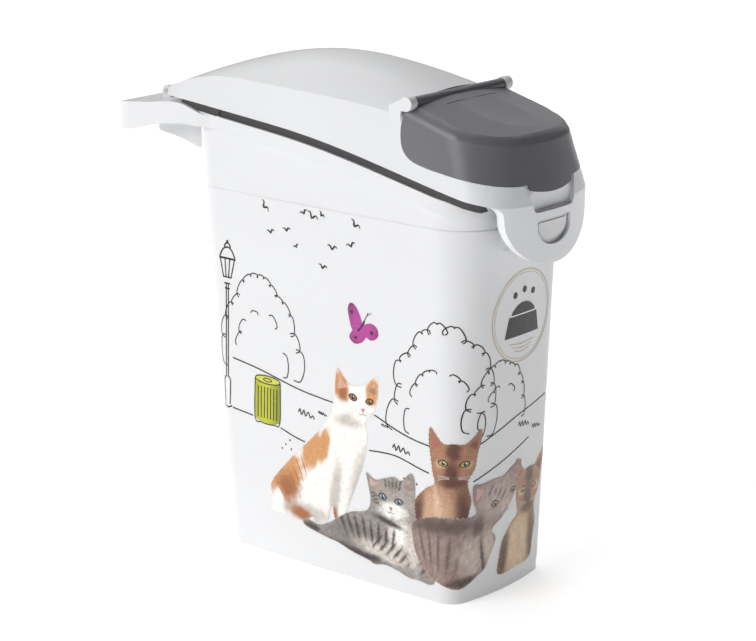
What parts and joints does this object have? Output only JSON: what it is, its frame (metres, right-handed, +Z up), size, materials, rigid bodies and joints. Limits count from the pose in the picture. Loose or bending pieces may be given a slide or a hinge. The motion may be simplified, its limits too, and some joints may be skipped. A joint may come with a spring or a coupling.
{
  "type": "pet food bin",
  "caption": "Slim tapered dry pet food bin with an arched hinged lid, a grey hinged pouring flap, a front latch tongue and a rear carrying loop.",
  "frame": {"origin": "on the surface that the bin stands on, in the middle of the width and 8 mm in front of the middle of the base", "axes": "+Z up, -Y the front with the pouring flap and the latch, +Y the rear with the handle and the lid hinge, X across the width"},
  "size_m": [0.1384, 0.3828, 0.3924],
  "materials": {
    "white_plastic": "smooth white polypropylene, semi gloss",
    "printed_film": "thin white film with a printed park scene",
    "grey_plastic": "dark grey polypropylene, satin",
    "dark_rubber": "soft dark grey elastomer",
    "pin_plastic": "plain moulded plastic"
  },
  "bodies": {
    "bin": {"bin_body": "white_plastic", "label_wrap": "printed_film", "lid_hinge_pin_left": "pin_plastic", "lid_hinge_pin_right": "pin_plastic"},
    "lid": {"lid": "white_plastic", "lid_seal": "dark_rubber", "flap_hinge_pin": "pin_plastic"},
    "flap": {"flap": "grey_plastic", "flap_seal": "dark_rubber"}
  },
  "joints": [
    {"name": "lid_hinge", "type": "hinge", "parent": "bin", "child": "lid", "pos_m": [0, 0.1945, 0.3502], "axis": [-1, 0, 0], "range_deg": [0, 100]},
    {"name": "flap_hinge", "type": "hinge", "parent": "lid", "child": "flap", "pos_m": [0, -0.057, 0.3722], "axis": [-1, 0, 0], "range_deg": [0, 98]}
  ]
}
